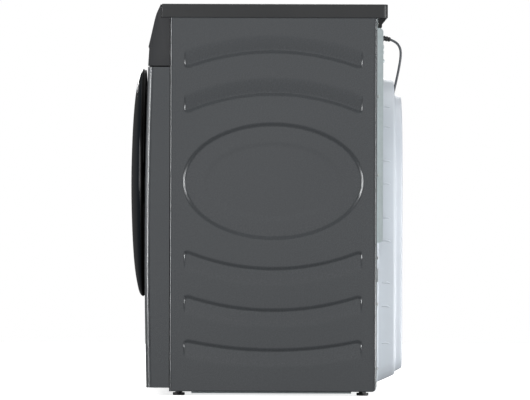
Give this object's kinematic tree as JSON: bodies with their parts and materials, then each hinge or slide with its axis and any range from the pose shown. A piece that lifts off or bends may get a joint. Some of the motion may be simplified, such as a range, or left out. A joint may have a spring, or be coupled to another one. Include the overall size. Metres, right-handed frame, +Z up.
{
  "type": "front load washing machine",
  "caption": "Free-standing front loading washing machine with a domed dark door, pressed side panels, a drum on springs, a belt drive and a domed rear cover.",
  "frame": {"origin": "on the floor, at the middle of the footprint", "axes": "+Z up, the door faces -Y, +X is the right side seen from the front"},
  "size_m": [0.716, 0.6035, 0.85],
  "materials": {
    "worktop": "satin, fine grain",
    "cabinet_paint": "satin dark grey paint",
    "flap_plastic": "satin, paint matched",
    "galvanised": "galvanised sheet, soft sheen",
    "cover_plastic": "milky, fine texture",
    "drawer_plastic": "gloss",
    "screw_steel": "zinc plated",
    "grey_plastic": "satin",
    "tub_plastic": "mineral filled, matte",
    "control_plastic": "satin gloss",
    "display_glass": "gloss black",
    "circuit_board": "solder mask",
    "knob_plastic": "satin with metal look",
    "black_rubber": "matte",
    "seal_rubber": "matte grey",
    "valve_plastic": "satin white",
    "concrete": "rough cast",
    "black_plastic": "satin",
    "door_plastic": "gloss black",
    "door_gloss": "deep gloss, blue black",
    "bowl_glass": "clear",
    "hinge_metal": "dark cast",
    "stainless": "bright stainless",
    "lifter_plastic": "satin",
    "cast_aluminium": "as cast",
    "motor_steel": "zinc and cast caps",
    "cord_pvc": "soft pvc",
    "foot_rubber": "matte black"
  },
  "bodies": {
    "cabinet": {"worktop": "worktop", "side_panel_right": "cabinet_paint", "side_panel_left": "cabinet_paint", "front_panel": "cabinet_paint", "rear_panel": "galvanised", "rear_cover": "cover_plastic", "base_tray": "galvanised", "top_rails": "galvanised", "worktop_brackets": "black_plastic", "cabinet_screws": "screw_steel", "transit_bolt_caps": "grey_plastic", "control_panel": "control_plastic", "display_window": "display_glass", "control_board": "circuit_board", "dispenser_housing": "cover_plastic", "dispenser_hose": "black_rubber", "water_inlet_valve": "valve_plastic", "drain_spout": "grey_plastic", "drain_pump": "grey_plastic", "sump_hose": "black_rubber", "suspension_springs": "screw_steel", "dampers": "black_plastic", "door_seal": "seal_rubber", "door_lock": "black_plastic", "door_hinge_bracket": "hinge_metal", "strain_relief": "black_rubber", "cord_clip": "black_plastic", "power_cord": "cord_pvc", "cord_coil": "cord_pvc", "power_plug": "cord_pvc"},
    "tub": {"tub_front": "tub_plastic", "tub_rear": "tub_plastic", "tub_screws": "screw_steel", "counterweight_top": "concrete", "counterweight_front": "concrete", "heater": "screw_steel", "drum_bearings": "screw_steel", "motor": "motor_steel", "drive_belt": "black_rubber"},
    "drum": {"drum": "stainless", "drum_lifters": "lifter_plastic", "drum_spider": "cast_aluminium", "drum_shaft": "screw_steel", "drum_pulley": "cast_aluminium"},
    "motor_rotor": {"motor_pulley": "screw_steel"},
    "door": {"door_cover": "door_gloss", "door_frame": "door_plastic", "door_glass": "bowl_glass", "door_latch_hook": "screw_steel", "door_hinge_arm": "hinge_metal"},
    "drawer": {"detergent_drawer": "drawer_plastic"},
    "knob": {"program_knob": "knob_plastic"},
    "power_key": {"power_button": "knob_plastic"},
    "start_key": {"start_button": "knob_plastic"},
    "flap": {"filter_flap": "flap_plastic"},
    "filter": {"drain_filter_cap": "grey_plastic"},
    "foot_fl": {"foot_front_left": "foot_rubber"},
    "foot_fr": {"foot_front_right": "foot_rubber"},
    "foot_rl": {"foot_rear_left": "foot_rubber"},
    "foot_rr": {"foot_rear_right": "foot_rubber"}
  },
  "joints": [
    {"name": "tub_float", "type": "slide", "parent": "cabinet", "child": "tub", "axis": [0, 0, 1], "range_m": [-0.006, 0.006], "stiffness_N_per_m": 60000, "springref_m": 0.00815, "deforming": ["suspension_springs", "dampers", "door_seal", "dispenser_hose", "sump_hose"]},
    {"name": "drum_spin", "type": "hinge", "parent": "tub", "child": "drum", "pos_m": [0, 0, 0.461], "axis": [0, 1, 0], "continuous": true},
    {"name": "motor_spin", "type": "hinge", "parent": "tub", "child": "motor_rotor", "pos_m": [0.025, 0, 0.128], "axis": [0, 1, 0], "continuous": true},
    {"name": "door_swing", "type": "hinge", "parent": "cabinet", "child": "door", "pos_m": [-0.2505, -0.273, 0.461], "axis": [0, 0, -1], "range_deg": [0, 150]},
    {"name": "drawer_slide", "type": "slide", "parent": "cabinet", "child": "drawer", "axis": [0, -1, 0], "range_m": [0, 0.2]},
    {"name": "knob_turn", "type": "hinge", "parent": "cabinet", "child": "knob", "pos_m": [0, -0.25053, 0.78], "axis": [0, -0.9748, 0.2233], "continuous": true},
    {"name": "power_press", "type": "slide", "parent": "cabinet", "child": "power_key", "axis": [0, 0.9748, -0.2233], "range_m": [0, 0.002], "stiffness_N_per_m": 400},
    {"name": "start_press", "type": "slide", "parent": "cabinet", "child": "start_key", "axis": [0, 0.9748, -0.2233], "range_m": [0, 0.002], "stiffness_N_per_m": 400},
    {"name": "flap_tilt", "type": "hinge", "parent": "cabinet", "child": "flap", "pos_m": [0.201, -0.25777, 0.03425], "axis": [1, 0, 0], "range_deg": [0, 75]},
    {"name": "filter_turn", "type": "hinge", "parent": "cabinet", "child": "filter", "pos_m": [0.201, -0.244, 0.084], "axis": [0, -1, 0], "range_deg": [-150, 0]},
    {"name": "foot_screw_fl", "type": "slide", "parent": "cabinet", "child": "foot_fl", "axis": [0, 0, -1], "range_m": [0, 0.012]},
    {"name": "foot_screw_fr", "type": "slide", "parent": "cabinet", "child": "foot_fr", "axis": [0, 0, -1], "range_m": [0, 0.012]},
    {"name": "foot_screw_rl", "type": "slide", "parent": "cabinet", "child": "foot_rl", "axis": [0, 0, -1], "range_m": [0, 0.012]},
    {"name": "foot_screw_rr", "type": "slide", "parent": "cabinet", "child": "foot_rr", "axis": [0, 0, -1], "range_m": [0, 0.012]}
  ],
  "couplings": [
    {"joint": "motor_spin", "follows": "drum_spin", "ratio": 11.667}
  ]
}
